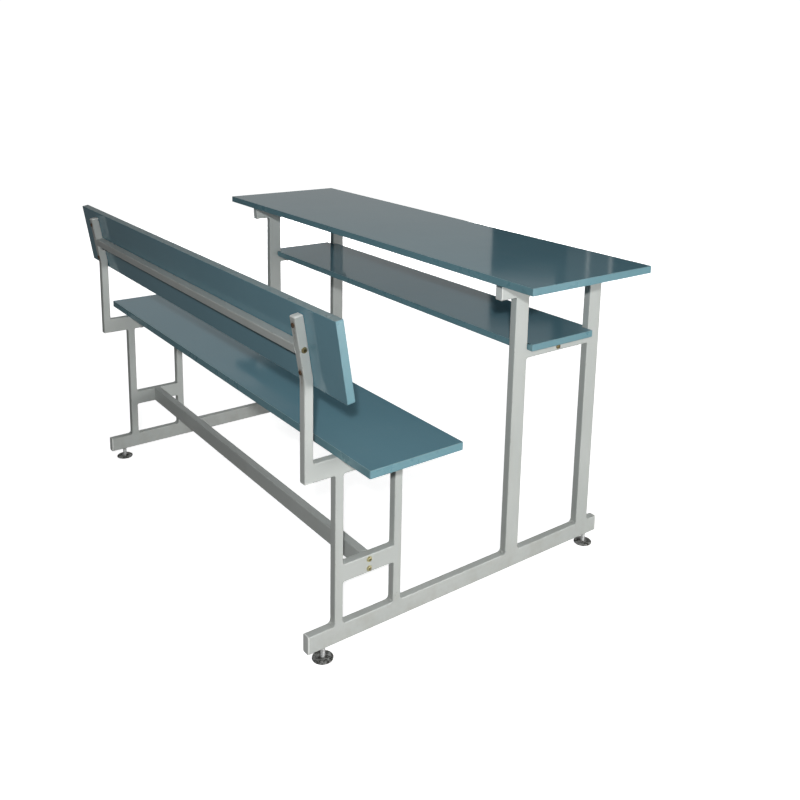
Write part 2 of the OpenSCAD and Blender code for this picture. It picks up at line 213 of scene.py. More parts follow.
def rust_mask(p):
    """Stains round the screws in the uprights' rear faces, and the runs below them."""
    x, _, z = p.axes(p.place)
    aside = p.math("ABSOLUTE", p.math("SUBTRACT", p.math("ABSOLUTE", x), FRAME_X))
    total = None
    for s in SCREW_S:
        height = (SLOPE @ Vector((0, -TUBE / 2, s))).z
        above = p.math("SUBTRACT", z, height)
        square = p.math("ADD", p.times(aside, aside), p.times(above, above))
        ring = p.span(p.math("SQRT", square), 0.0115, 0.0040)
        along_run = p.math("ABSOLUTE", p.math("ADD", above, 0.012))
        run = p.times(p.span(aside, 0.0052, 0.0010), p.span(along_run, 0.030, 0.004))
        here = p.math("MAXIMUM", ring, p.times(run, 0.7))
        total = here if total is None else p.math("MAXIMUM", total, here)
    rear = p.span(p.axes(p.coords.outputs["Normal"])[1], -0.5, -0.9)
    patchy = p.span(p.noise(160.0, 5, 0.7), 0.34, 0.62, 0.15, 0.95)
    return p.times(p.times(total, rear), patchy)


def laminate(name):
    """Glossy teal laminate with a faint waver, wiped dust and fine scratches."""
    p = Paint(name, Specular_IOR_Level=0.5, IOR=1.5)
    cloud = p.span(p.noise(3.0, 4), 0.3, 0.7)
    colour = p.blend(cloud, (0.140, 0.284, 0.352), (0.160, 0.312, 0.380))
    grain = p.span(p.noise(900.0, 2, 0.6), 0.3, 0.7, 0.0, 0.16)
    colour = p.blend(grain, colour, (0.200, 0.365, 0.425))
    dust = p.times(p.span(p.noise(11.0, 6, 0.7), 0.52, 0.74), p.span(p.noise(260.0, 3, 0.6), 0.45, 0.7))
    colour = p.blend(p.times(dust, 0.20), colour, (0.34, 0.38, 0.38))
    streaks = p.noise(34.0, 2, 0.5, (0.25, 9.0, 1.0), 1.4)
    scratch = p.times(p.span(streaks, 0.500, 0.506, 1.0, 0.0), p.span(streaks, 0.494, 0.500, 0.0, 1.0))
    wipe = p.span(p.noise(7.0, 5, 0.65, (1, 2.5, 1), 0.6), 0.35, 0.70, 0.045, 0.10)
    rough = p.math("ADD", wipe, p.times(scratch, 0.10))
    fine = p.bump(p.noise(1300.0, 2, 0.5), 0.000012, 0.6)
    wave = p.bump(p.noise(9.0, 2, 0.4), 0.00045, 0.35, fine)
    return p.finish(colour, rough, wave)


def edging(name):
    """Teal plastic edge band: extrusion lines along its length, rubbed corners, dust on top."""
    p = Paint(name, Specular_IOR_Level=0.5, IOR=1.5)
    cloud = p.span(p.noise(8.0, 4), 0.3, 0.7)
    colour = p.blend(cloud, (0.150, 0.300, 0.350), (0.172, 0.325, 0.376))
    rub = p.times(p.edge_mask(), p.span(p.noise(50.0, 5, 0.7), 0.45, 0.65))
    colour = p.blend(p.times(rub, 0.35), colour, (0.34, 0.47, 0.50))
    mark = p.span(p.noise(26.0, 6, 0.7), 0.62, 0.72, 0.0, 0.35)
    colour = p.blend(mark, colour, (0.085, 0.160, 0.185))
    upward = p.span(p.axes(p.coords.outputs["Normal"])[2], 0.75, 0.97)
    dust = p.times(upward, p.span(p.noise(60.0, 5, 0.7), 0.30, 0.65, 0.40, 0.75))
    colour = p.blend(dust, colour, (0.430, 0.490, 0.490))
    lines = p.noise(700.0, 2, 0.5, (0.02, 0.02, 1.0))
    rough = p.span(p.noise(18.0, 4, 0.6), 0.3, 0.7, 0.24, 0.38)
    return p.finish(colour, rough, p.bump(lines, 0.00004, 0.7))


def moulded(name):
    """Grey moulded plastic of the end plugs, with a fine spark texture."""
    p = Paint(name, Specular_IOR_Level=0.45)
    cloud = p.span(p.noise(40.0, 4), 0.3, 0.7)
    colour = p.blend(cloud, (0.710, 0.730, 0.710), (0.770, 0.790, 0.770))
    dirt = p.span(p.noise(90.0, 6, 0.7), 0.58, 0.75, 0.0, 0.4)
    colour = p.blend(dirt, colour, (0.300, 0.290, 0.250))
    rough = p.span(p.noise(120.0, 3), 0.3, 0.7, 0.42, 0.58)
    return p.finish(colour, rough, p.bump(p.noise(1500.0, 2), 0.00004, 0.7))


def zinc(name, a, b, c, rough_low, rough_high, grime, metal, socket=False):
    """Plated steel: a patchy passivated film in three tones over fine grain, with patches of
    grime. With socket, the crown and socket of a bolt that lies along X are painted dark: partly
    grease, partly painted shade in the socket."""
    p = Paint(name, Metallic=metal)
    film = p.span(p.noise(190.0, 4, 0.6, None, 1.2), 0.35, 0.65)
    colour = p.blend(film, a, b)
    colour = p.blend(p.span(p.noise(330.0, 3), 0.5, 0.7), colour, c)
    dark = p.span(p.noise(420.0, 6, 0.7), 0.55, 0.75, 0.0, grime)
    colour = p.blend(dark, colour, (0.060, 0.048, 0.030))
    if socket:
        # Painted shade and grease: the faces along X, the flat crown and the socket floor, are made dark
        sideways = p.math("ABSOLUTE", p.axes(p.coords.outputs["Normal"])[0])
        colour = p.blend(p.span(sideways, 0.95, 0.99, 0.0, 0.85), colour, (0.045, 0.040, 0.020))
    rough = p.span(p.noise(500.0, 3), 0.3, 0.7, rough_low, rough_high)
    return p.finish(colour, rough, p.bump(p.noise(2600.0, 2), 0.00001, 0.6))


def rusted(name):
    """Screw head gone brown: rust bloom over what is left of the zinc."""
    p = Paint(name)
    bloom = p.span(p.noise(420.0, 6, 0.72), 0.36, 0.56)
    colour = p.blend(bloom, (0.300, 0.270, 0.210), (0.105, 0.048, 0.020))
    colour = p.blend(p.span(p.noise(900.0, 4), 0.5, 0.7, 0.0, 0.8), colour, (0.030, 0.017, 0.010))
    metal = p.span(bloom, 0.0, 1.0, 0.9, 0.05)
    rough = p.span(bloom, 0.0, 1.0, 0.35, 0.85)
    return p.finish(colour, rough, p.bump(p.noise(1500.0, 4), 0.00012, 1.0), metal)


def pad_metal(name):
    """Plating of a pressed foot pad: a mottle of dark and bright patches, partly dulled plating and partly
    painted reflection, over faint turning rings.
    """
    p = Paint(name, Metallic=0.5)
    # Partly painted reflection: the bright and dark patches stand in for mirrored surroundings as well as
    # dulled plating
    mottle = p.span(p.noise(105.0, 6, 0.7, None, 0.8), 0.42, 0.60)
    colour = p.blend(mottle, (0.062, 0.060, 0.055), (0.600, 0.610, 0.595))
    colour = p.blend(p.span(p.noise(420.0, 3), 0.52, 0.7, 0.0, 0.6), colour, (0.060, 0.058, 0.052))
    rough = p.span(mottle, 0.0, 1.0, 0.52, 0.36)
    rings = p.node("ShaderNodeTexWave", wave_type="RINGS", rings_direction="Z")
    p.link(p.stretched((1, 1, 0), centred(p)), rings.inputs["Vector"])
    rings.inputs["Scale"].default_value = 9.0
    rings.inputs["Distortion"].default_value = 0.4
    lines = p.bump(rings.outputs[1], 0.00003, 0.5)
    return p.finish(colour, rough, p.bump(p.noise(350.0, 4), 0.0001, 0.6, lines))


def centred(p):
    """Places in a piece's own box, measured from its middle."""
    made = p.node("ShaderNodeVectorMath", operation="SUBTRACT")
    p.link(p.coords.outputs["Generated"], made.inputs[0])
    made.inputs[1].default_value = (0.5, 0.5, 0.0)
    return made.outputs[0]


def plain_steel(name):
    """Bare steel of the hidden plates and nuts, with mill grain."""
    p = Paint(name, Metallic=1.0)
    colour = p.blend(p.noise(120.0, 5, 0.6), (0.245,) * 3, (0.420,) * 3)
    rough = p.span(p.noise(300.0, 3), 0.3, 0.7, 0.3, 0.5)
    return p.finish(colour, rough, p.bump(p.noise(60.0, 2, 0.5, (1, 1, 40)), 0.00005, 0.5))


MAT = {
    "enamel": enamel("grey_enamel"),
    "rusty_enamel": enamel("grey_enamel_stained", rusty=True),
    "laminate": laminate("teal_laminate"),
    "edging": edging("teal_edging"),
    "plug": moulded("grey_plug"),
    "yellow": zinc("yellow_zinc", (0.860, 0.780, 0.400), (0.800, 0.770, 0.480), (0.840, 0.680, 0.340),
                   rough_low=0.28, rough_high=0.45, grime=0.25, metal=0.6, socket=True),
    "aged": zinc("aged_zinc", (0.420, 0.340, 0.160), (0.520, 0.450, 0.240), (0.300, 0.190, 0.100),
                 rough_low=0.26, rough_high=0.45, grime=0.6, metal=0.7, socket=True),
    "rusted": rusted("rusted_screw"),
    "bright": zinc("bright_zinc", (0.760, 0.770, 0.770), (0.840, 0.850, 0.840), (0.700, 0.710, 0.730),
                   rough_low=0.20, rough_high=0.38, grime=0.15, metal=0.5),
    "steel": plain_steel("bare_steel"),
    "pad": pad_metal("pad_steel"),
}


# ---------- mesh building ----------

def make_piece(name, bm, material, body, replaced, weighted=True, angle=35):
    """A finished piece from a bmesh: normals, shading, material, body, replaced CAD nodes."""
    bmesh.ops.remove_doubles(bm, verts=bm.verts, dist=1e-7)
    bmesh.ops.recalc_face_normals(bm, faces=bm.faces)
    mesh = bpy.data.meshes.new(name)
    bm.to_mesh(mesh)
    bm.free()
    for polygon in mesh.polygons:
        polygon.use_smooth = True
    mesh.set_sharp_from_angle(angle=math.radians(angle))
    mesh.materials.append(material)
    piece = bpy.data.objects.new(name, mesh)
    bpy.context.scene.collection.objects.link(piece)
    if weighted:
        even = piece.modifiers.new("even_normals", "WEIGHTED_NORMAL")
        even.keep_sharp = True
        even.weight = 80
    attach(piece, body)
    if replaced:
        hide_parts(*replaced)


def bridge(bm, ring, other):
    """Quads between two closed rings of vertices."""
    for i in range(len(ring)):
        j = (i + 1) % len(ring)
        bm.faces.new((ring[i], ring[j], other[j], other[i]))


def skin(bm, rings):
    """Quads between successive rings of points. Returns the rings' vertices."""
    made = [[bm.verts.new(point) for point in ring] for ring in rings]
    for ring, other in zip(made, made[1:]):
        bridge(bm, ring, other)
    return made


def circle(r, z, around):
    """Points round the Z axis."""
    turns = [2 * math.pi * i / around for i in range(around)]
    return [Vector((r * math.cos(a), r * math.sin(a), z)) for a in turns]


def cap(bm, ring, flip=False):
    """One face that closes a ring of vertices."""
    bm.faces.new(list(reversed(ring)) if flip else ring)


def rounded_outline(width, depth, radius):
    """Points round a rectangle centred at the origin, with rounded corners."""
    steps = 6
    points = []
    for cx, cy, start in ((1, 1, 0), (-1, 1, 90), (-1, -1, 180), (1, -1, 270)):
        for i in range(steps + 1):
            a = math.radians(start + 90 * i / steps)
            points.append((cx * (width / 2 - radius) + radius * math.cos(a),
                           cy * (depth / 2 - radius) + radius * math.sin(a)))
    return points


def inset(points, distance):
    """The outline moved inward, square to each edge."""
    moved = []
    count = len(points)
    for i in range(count):
        before, here, after = (Vector(points[k % count]) for k in (i - 1, i, i + 1))
        a, b = (here - before).normalized(), (after - here).normalized()
        left_a, left_b = Vector((-a.y, a.x)), Vector((-b.y, b.x))
        middle = left_a + left_b
        middle = middle / max(middle.dot(left_a), 1e-6)
        moved.append(tuple(here + middle * distance))
    return moved


def frames_along(path):
    """Places of a section along a path: each point, and two directions across the path there.
    The first direction is X, or Y where the path runs along X."""
    places = []
    for i, point in enumerate(path):
        before, after = path[max(i - 1, 0)], path[min(i + 1, len(path) - 1)]
        tangent = (after - before).normalized()
        across = Vector((1, 0, 0))
        if abs(tangent.x) > 0.9:
            across = Vector((0, 1, 0))
        third = tangent.cross(across).normalized()
        places.append((point, across, third))
    return places


def tube_piece(node, width, depth, sections, material):
    """A hollow tube with rounded corners inside and out. The call sections(outline) gives the
    outline's rings along the tube."""
    bm = bmesh.new()
    outer = rounded_outline(width, depth, CORNER)
    inner = rounded_outline(width - 2 * WALL, depth - 2 * WALL, INNER_CORNER)
    shells = [skin(bm, sections(outline)) for outline in (outer, inner)]
    for end in (0, -1):
        bridge(bm, shells[0][end], shells[1][end])
    make_piece(node + "_tube", bm, material, "frame", (node,))


def swept(path):
    """The sections of a tube along a path, as a function of its outline."""
    places = frames_along(path)

    def sections(outline):
        return [[point + a * x + b * y for x, y in outline] for point, a, b in places]

    return sections


def straight_tube(node):
    """Rebuilds a straight CAD tube from its box: it runs along the longest side."""
    lo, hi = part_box(node)
    size, middle = hi - lo, (lo + hi) / 2
    axis = max(range(3), key=lambda k: size[k])
    start, end = middle.copy(), middle.copy()
    start[axis], end[axis] = lo[axis], hi[axis]
    if axis == 0:
        width, depth = size.y, size.z
    elif axis == 1:
        width, depth = size.x, size.z
    else:
        width, depth = size.x, size.y
    section_step = 50 * MM
    count = max(2, int(size[axis] / section_step))
    path = [start.lerp(end, i / count) for i in range(count + 1)]
    tube_piece(node, width, depth, swept(path), MAT["enamel"])


def upright_tube(side, sign):
    """A back upright: straight from its lower end, bent, and straight along the slope."""
    node = f"{side}_back_upright"
    foot_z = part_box(node)[0].z
    half = BEND_R * math.tan(LEAN / 2)
    start_z = BEND_Z - half
    x = sign * FRAME_X
    path = [Vector((x, UPRIGHT_Y, foot_z + (start_z - foot_z) * i / 5)) for i in range(5)]
    for i in range(11):
        a = LEAN * i / 10
        back, rise = BEND_R * (1 - math.cos(a)), BEND_R * math.sin(a)
        path.append(Vector((x, UPRIGHT_Y - back, start_z + rise)))
    for i in range(1, 4):
        s = half + (UPRIGHT_TOP - CAP - half) * i / 3
        path.append(SLOPE @ Vector((x, 0, s)))
    tube_piece(node, TUBE, TUBE, swept(path), MAT["rusty_enamel"])


def cross_tube():
    """The tube behind the backrest. It lies along X and is turned with the slope."""
    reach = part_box("backrest_cross_tube")[1].x
    path = [Vector((x, 0, CROSS_S)) for x in (-reach, -reach / 2, 0, reach / 2, reach)]

    def sections(outline):
        return [[SLOPE @ (point + Vector((0, x, y))) for x, y in outline] for point in path]

    tube_piece("backrest_cross_tube", TUBE, TUBE, sections, MAT["enamel"])


# ---------- boards ----------

def board(name, outline, thick, place, panel_node, band_node):
    """A laminated panel inside an edge band with softened edges, on its own plane."""
    def ring(inward, z):
        return [place @ Vector((x, y, z)) for x, y in inset(outline, inward)]

    soft = 0.7 * MM
    profile = [(BAND, 0), (soft, 0)]
    for i in range(1, 5):
        a = math.radians(90 * i / 5)
        profile.append((soft - soft * math.sin(a), soft - soft * math.cos(a)))
    profile += [(0, soft), (0, thick - soft)]
    for i in range(1, 5):
        a = math.radians(90 * i / 5 + 90)
        profile.append((soft - soft * math.sin(a), thick - soft - soft * math.cos(a)))
    profile += [(soft, thick), (BAND, thick)]
    bm = bmesh.new()
    rings = [ring(inward, z) for inward, z in profile]
    skin(bm, rings + [rings[0]])
    make_piece(name + "_edging", bm, MAT["edging"], "frame", (band_node,), angle=50)
    seam, soft_edge = 0.06 * MM, 0.15 * MM
    side = BAND + seam
    steps = ((side + soft_edge, 0), (side, soft_edge), (side, thick - soft_edge), (side + soft_edge, thick))
    bm = bmesh.new()
    made = skin(bm, [ring(inward, z) for inward, z in steps])
    cap(bm, made[0], True)
    cap(bm, made[-1])
    make_piece(name + "_panel", bm, MAT["laminate"], "frame", (panel_node,), angle=25)


def flat_board(name, panel_node, band_node):
    lo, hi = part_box(band_node)
    size, middle = hi - lo, (lo + hi) / 2
    outline = rounded_outline(size.x, size.y, BOARD_CORNER)
    place = Matrix.Translation((middle.x, middle.y, lo.z))
    board(name, outline, size.z, place, panel_node, band_node)


def backrest():
    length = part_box("backrest_edge_band")[1].x * 2
    outline = rounded_outline(length, BACKREST_HIGH, BOARD_CORNER)
    middle = (0, TUBE / 2 + BACKREST_THICK, BACKREST_FOOT + BACKREST_HIGH / 2)
    upright = Matrix.Rotation(math.radians(90), 4, "X")
    place = SLOPE @ Matrix.Translation(middle) @ upright
    board("backrest", outline, BACKREST_THICK, place, "backrest_board", "backrest_edge_band")


def shelf_outline(lo, hi):
    """The shelf: a strip between the legs, with tabs that lie on the shelf rails."""
    gap, radius = 1 * MM, 1.2 * MM
    strip = FRAME_X - TUBE / 2 - gap
    tab_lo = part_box("right_desk_near_leg")[1].y + gap
    tab_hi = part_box("right_desk_far_leg")[0].y - gap
    half = [(strip, lo.y), (strip, tab_lo), (hi.x, tab_lo), (hi.x, tab_hi), (strip, tab_hi), (strip, hi.y)]
    corners = half + [(-x, y) for x, y in reversed(half)]
    return soften(corners, radius)


def soften(corners, radius):
    """Rounds each square corner of a closed outline."""
    steps = 4
    points = []
    count = len(corners)
    for i in range(count):
        before, here, after = (Vector(corners[k % count]) for k in (i - 1, i, i + 1))
        to_before, to_after = (before - here).normalized(), (after - here).normalized()
        centre = here + (to_before + to_after) * radius
        for k in range(steps + 1):
            a = math.radians(90 * k / steps)
            points.append(tuple(centre - (to_after * math.cos(a) + to_before * math.sin(a)) * radius))
    return points


def shelf():
    lo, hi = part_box("shelf_edge_band")
    place = Matrix.Translation((0, 0, lo.z))
    board("book_shelf", shelf_outline(lo, hi), hi.z - lo.z, place, "book_shelf", "shelf_edge_band")


# ---------- plugs, fasteners, welds ----------

def plug_mesh(bm, place, width, depth, flange, bevel=0.0):
    """A moulded end plug: a flange with a small groove where it meets the tube, and a tapered
    stem below it. The flange has a soft edge and a shallow crown, or a flat bevel."""
    groove, crown = 0.45 * MM, 0.25 * MM
    soft = bevel or 0.7 * MM
    steps = [(groove, 0.0), (0.0, groove), (0.0, flange - soft)]
    if bevel:
        steps.append((bevel * 0.06, flange - bevel * 0.9))
        steps.append((bevel * 0.94, flange - bevel * 0.06))
        steps.append((bevel * 1.1, flange))
    else:
        for i in range(1, 6):
            a = math.radians(90 * i / 5)
            steps.append((soft - soft * math.cos(a), flange - soft + (soft - crown) * math.sin(a)))
        steps += [(soft * 3, flange - crown * 0.3), (soft * 6, flange)]
    outline = rounded_outline(width, depth, CORNER)
    rings = [[place @ Vector((x, y, z)) for x, y in inset(outline, inward)]
             for inward, z in steps if inward < CORNER]
    made = skin(bm, rings)
    flat = 8 * MM
    centre = rounded_outline(width - flat, depth - flat, CORNER * 0.6)
    last = [bm.verts.new(place @ Vector((x, y, flange))) for x, y in centre]
    bridge(bm, made[-1], last)
    cap(bm, last)
    cap(bm, made[0], True)
    across, along = width - 2 * (WALL + 0.15 * MM), depth - 2 * (WALL + 0.15 * MM)
    body = rounded_outline(across, along, INNER_CORNER)
    taper = rounded_outline(across - 1 * MM, along - 1 * MM, INNER_CORNER)
    levels = ((body, -0.02 * MM), (body, -8 * MM), (taper, -11 * MM))
    stem = skin(bm, [[place @ Vector((x, y, z)) for x, y in outline] for outline, z in levels])
    cap(bm, stem[0])
    cap(bm, stem[-1], True)


def hex_ring(angles, across):
    """Radius of a hexagon at each angle, from its size across the flats."""
    sixth = math.radians(60)
    return [across / 2 / math.cos((a % sixth) - sixth / 2) for a in angles]


def cross_ring(angles, arm, half_width):
    """Radius of a cross-shaped recess at each angle."""
    radii = []
    for a in angles:
        off = abs((a + math.pi / 4) % (math.pi / 2) - math.pi / 4)
        by_side = half_width / max(math.sin(off), 1e-6)
        radii.append(min(arm / math.cos(off), by_side))
    return radii


def head_mesh(bm, place, profile, angles, radii, depth, shank_r, shank, taper=1.0):
    """A fastener: a turned head with a shaped recess, and its shank below. The radii shape the
    recess, and taper is the size of its bottom beside its top."""
    def turned(r, z):
        return [place @ Vector((r * math.cos(a), r * math.sin(a), z)) for a in angles]

    def shaped(k, z):
        return [place @ Vector((k * r * math.cos(a), k * r * math.sin(a), z)) for a, r in zip(angles, radii)]

    top = profile[-1][1]
    lip = 0.15 * MM
    rings = [turned(shank_r, -shank), turned(shank_r, 0)]
    rings += [turned(r, z) for r, z in profile]
    rings += [shaped(1.06, top), shaped(1.0, top - lip), shaped(taper, top - depth)]
    made = skin(bm, rings)
    cap(bm, made[0], True)
    cap(bm, made[-1])


def button_bolt(bm, place, shank):
    """Button-head bolt with a hexagon socket, its head's underside at the place."""
    around = 48
    angles = [2 * math.pi * i / around for i in range(around)]
    head_r, crown_r, high = 6.4 * MM, 3.6 * MM, 4 * MM
    drop = (head_r ** 2 - crown_r ** 2 - high ** 2) / 2 / high
    ball = math.hypot(head_r, drop)
    edge = 0.25 * MM
    profile = [(head_r - edge, 0), (head_r, edge)]
    for i in range(1, 9):
        z = high * i / 8
        profile.append((min(math.sqrt(ball ** 2 - (z + drop) ** 2), head_r), z))
    socket = hex_ring(angles, 5 * MM)
    head_mesh(bm, place, profile, angles, socket, depth=2.4 * MM, shank_r=4 * MM, shank=shank)


def pan_screw(bm, place, shank):
    """Pan-head screw with a cross recess, its head's underside at the place."""
    arm, half_width = 2.3 * MM, 0.55 * MM
    corner = math.atan2(half_width, arm)
    quarter_turn = math.pi / 2
    steps = [0, corner * 0.5, corner, quarter_turn / 3, quarter_turn / 2, quarter_turn * 2 / 3,
             quarter_turn - corner, quarter_turn - corner * 0.5]
    angles = [a + quarter * quarter_turn for quarter in range(4) for a in steps]
    edge, wall, bend, rise = 0.2 * MM, 1.1 * MM, 2.1 * MM, 1.7 * MM
    last = math.radians(75)
    profile = [(PAN_HEAD_R - edge, 0), (PAN_HEAD_R, edge), (PAN_HEAD_R, wall)]
    for i in range(1, 6):
        a = last * i / 5
        profile.append((PAN_HEAD_R - bend + bend * math.cos(a), wall + rise * math.sin(a) / math.sin(last)))
    recess = cross_ring(angles, arm, half_width)
    head_mesh(bm, place, profile, angles, recess, depth=1.7 * MM, shank_r=2.5 * MM, shank=shank, taper=0.35)


def facing(point, direction):
    """A place whose Z points along a direction."""
    return Matrix.Translation(point) @ Vector(direction).to_track_quat("Z", "Y").to_matrix().to_4x4()


def fastener_piece(name, node, places, maker, shank, material):
    """One piece of all the bolts or screws of a node. The maker makes one at a place."""
    bm = bmesh.new()
    for place in places:
        maker(bm, place, shank)
    make_piece(name, bm, material, "frame", (node,), weighted=False, angle=40)


def bead_mesh(bm, corner, along_y, along_z, x_mid, length, size, rng):
    """A rippled, hollow fillet weld in the corner between two tube faces, running along X. It
    starts a little inside the corner, so no gap shows behind it."""
    count, wave, inside = 30, 1.9 * MM, 0.3 * MM
    rings = []
    for i in range(count + 1):
        t = i / count
        x = x_mid + (t - 0.5) * length
        ripple = 1 + 0.07 * math.sin(t * length / wave * 2 * math.pi) + rng.uniform(-0.04, 0.04)
        ring = [Vector((x, corner.y - along_y * inside, corner.z - along_z * inside))]
        for k in range(7):
            a = math.radians(90 * k / 6)
            r = size * ripple * (0.56 + 0.44 * abs(math.cos(2 * a)))
            dy, dz = along_y * r * math.cos(a), along_z * r * math.sin(a)
            ring.append(Vector((x, corner.y + dy, corner.z + dz)))
        rings.append(ring)
    made = skin(bm, rings)
    cap(bm, made[0])
    cap(bm, made[-1], True)


def joints(side):
    """Every T joint of one side frame: (through tube, butting tube, axis of the butting tube, way
    it leaves the through tube)."""
    made = []
    for leg in ("bench_rear_leg", "bench_front_leg"):
        made += [("foot_rail", leg, 2, 1), ("seat_rail", leg, 2, -1)]
    for leg in ("desk_near_leg", "desk_far_leg"):
        made += [("foot_rail", leg, 2, 1), ("top_rail", leg, 2, -1)]
    made += [("bench_rear_leg", "bench_mid_rail", 1, 1), ("bench_front_leg", "bench_mid_rail", 1, -1),
             ("desk_near_leg", "shelf_rail", 1, 1), ("desk_far_leg", "shelf_rail", 1, -1),
             ("back_upright", "seat_rail", 1, 1)]
    return [(f"{side}_{a}", f"{side}_{b}", axis, way) for a, b, axis, way in made]


def ground_weld(bm, spot, outward, along, away, half, low, high, fillet):
    """Weld ground flush with a side frame's face: it fills the groove between the tubes' rounded
    corners and ends in a small fillet on each side of the butting tube. The spot is on the face,
    at the joint's middle; low and high are the through tube's ends along its own axis."""
    edge, fade, proud = CORNER + 0.1 * MM, 3 * MM, 0.02 * MM
    right = [(half + fillet + fade, -edge), (half + fillet + fade * 0.4, -0.25 * edge)]
    for i in range(7):
        a = math.radians(90 * i / 6)
        right.append((half + fillet - fillet * math.sin(a), fillet - fillet * math.cos(a)))
    right += [(half - 0.25 * edge, fillet + fade * 0.6), (half - edge, fillet + fade)]
    outline = right + [(-u, v) for u, v in reversed(right)]
    outline = [(min(max(u, low), high), v) for u, v in outline]
    rings = [[spot + along * u + away * v + outward * w for u, v in outline] for w in (-edge, proud)]
    made = skin(bm, rings)
    cap(bm, made[0], True)
    cap(bm, made[-1])


def welds():
    """Ground welds on both faces of each joint, and a bead in each open corner between them."""
    rng = random.Random(7)
    rail_size, other_size = 3.6 * MM, 1.5 * MM
    bead_length, margin = 19 * MM, 0.4 * MM
    for side, sign in SIDES:
        bm = bmesh.new()
        for through, butting, axis, way in joints(side):
            other = 3 - axis
            lo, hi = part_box(butting)
            t_lo, t_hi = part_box(through)
            size = rail_size if through.endswith("foot_rail") else other_size
            end = lo[axis] if way > 0 else hi[axis]
            middle = (lo[other] + hi[other]) / 2
            half = (hi[other] - lo[other]) / 2
            along, away = Vector((0, 0, 0)), Vector((0, 0, 0))
            along[other], away[axis] = 1, way
            low, high = t_lo[other] - middle + margin, t_hi[other] - middle - margin
            for face in (-1, 1):
                spot = Vector((sign * FRAME_X + face * TUBE / 2, 0, 0))
                spot[axis], spot[other] = end, middle
                ground_weld(bm, spot, Vector((face, 0, 0)), along, away, half, low, high, size)
            for turn in (-1, 1):
                if not low < turn * (half + size) < high:
                    continue
                corner = Vector((0, 0, 0))
                corner[axis], corner[other] = end, middle + turn * half
                toward = [0, 0, 0]
                toward[axis], toward[other] = way, turn
                bead_mesh(bm, corner, toward[1], toward[2], sign * FRAME_X, bead_length, size, rng)
        make_piece(f"{side}_frame_weld_beads", bm, MAT["enamel"], "frame", (),
                   weighted=False, angle=30)


def thread_mesh(bm, place, radius, root, z0, z1):
    """A threaded rod with chamfered ends. Over each half pitch the thread is flat at its root for
    the first share, climbs over the second, and is flat at its crest for the rest."""
    around, per_turn = 40, 10
    root_share, climb_share = 0.12, 0.72
    chamfer = 1.0 * MM
    rows = int((z1 - z0) / PITCH * per_turn)
    rings = []
    for j in range(rows + 1):
        z = z0 + (z1 - z0) * j / rows
        ring = []
        for i in range(around):
            a = 2 * math.pi * i / around
            phase = ((z - z0) / PITCH - i / around) % 1.0
            flank = min(max((abs(phase - 0.5) * 2 - root_share) / climb_share, 0), 1)
            r = root + (radius - root) * flank
            r = min(r, radius - chamfer + (z1 - z), radius - chamfer + (z - z0))
            ring.append(place @ Vector((r * math.cos(a), r * math.sin(a), z)))
        rings.append(ring)
    made = skin(bm, rings)
    cap(bm, made[0], True)
    cap(bm, made[-1])


def foot(side, end):
    """Pad and threaded stud of one levelling foot."""
    pad_node, stud_node = f"{side}_{end}_foot_pad", f"{side}_{end}_foot_stud"
    lo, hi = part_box(pad_node)
    place = Matrix.Translation(((lo.x + hi.x) / 2, (lo.y + hi.y) / 2, 0))
    radius = (hi.x - lo.x) / 2
    # In millimetres: how far in from the edge, and how high, over the rolled rim
    rim = ((1.2, 0), (0.35, 0.3), (0, 1.0), (0, 2.3), (0.3, 2.9), (1.0, 3.35), (2.0, 3.5), (3.2, 3.35),
           (4.4, 3.4), (6, 3.75))
    # In millimetres: how far out from the middle, and how high, over the boss and down its hole
    boss = ((11.0, 4.6), (9.6, 4.8), (9.0, 5.05), (8.6, 5.4), (7.8, 5.5), (5.6, 5.5), (5.05, 5.2), (5.0, 2.5))
    pin = 0.01 * MM
    profile = [(pin, 0)]
    profile += [(radius - inward * MM, z * MM) for inward, z in rim]
    profile += [(r * MM, z * MM) for r, z in boss]
    profile.append((pin, 2.5 * MM))
    bm = bmesh.new()
    made = skin(bm, [[place @ point for point in circle(r, z, 72)] for r, z in profile])
    cap(bm, made[0], True)
    cap(bm, made[-1])
    make_piece(f"{side}_{end}_pad", bm, MAT["pad"], f"{side}_{end}_pad", (pad_node,),
               weighted=False, angle=45)
    lo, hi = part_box(stud_node)
    bm = bmesh.new()
    thread_mesh(bm, place, (hi.x - lo.x) / 2, STUD_ROOT, lo.z, hi.z)
    make_piece(f"{side}_{end}_stud", bm, MAT["bright"], f"{side}_{end}_stud", (stud_node,),
               weighted=False, angle=50)


# ---------- the unit ----------

def tubes():
    parts = ("foot_rail", "bench_rear_leg", "bench_front_leg", "bench_mid_rail", "seat_rail",
             "desk_near_leg", "desk_far_leg", "shelf_rail", "top_rail")
    for side, sign in SIDES:
        for part in parts:
            straight_tube(f"{side}_{part}")
        upright_tube(side, sign)
    straight_tube("bench_stretcher")
    straight_tube("shelf_beam")
    cross_tube()


def plug_piece(name, node, bm, angle=40):
    make_piece(name, bm, MAT["plug"], "frame", (node,), weighted=False, angle=angle)


def rail_plugs(name, node, rail, flange, ends):
    """Plugs in one kind of rail on both sides, at its near end (-1), its far end (1) or both."""
    bm = bmesh.new()
    for side, _ in SIDES:
        lo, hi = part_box(f"{side}_{rail}")
        middle = (lo + hi) / 2
        for end in ends:
            y = lo.y if end < 0 else hi.y
            place = facing((middle.x, y, middle.z), (0, end, 0))
            across = place.to_3x3() @ Vector((1, 0, 0))
            wide_first = abs(across.z) > 0.5
            a, b = (hi.z - lo.z, hi.x - lo.x) if wide_first else (hi.x - lo.x, hi.z - lo.z)
            plug_mesh(bm, place, a, b, flange)
    plug_piece(name, node, bm)


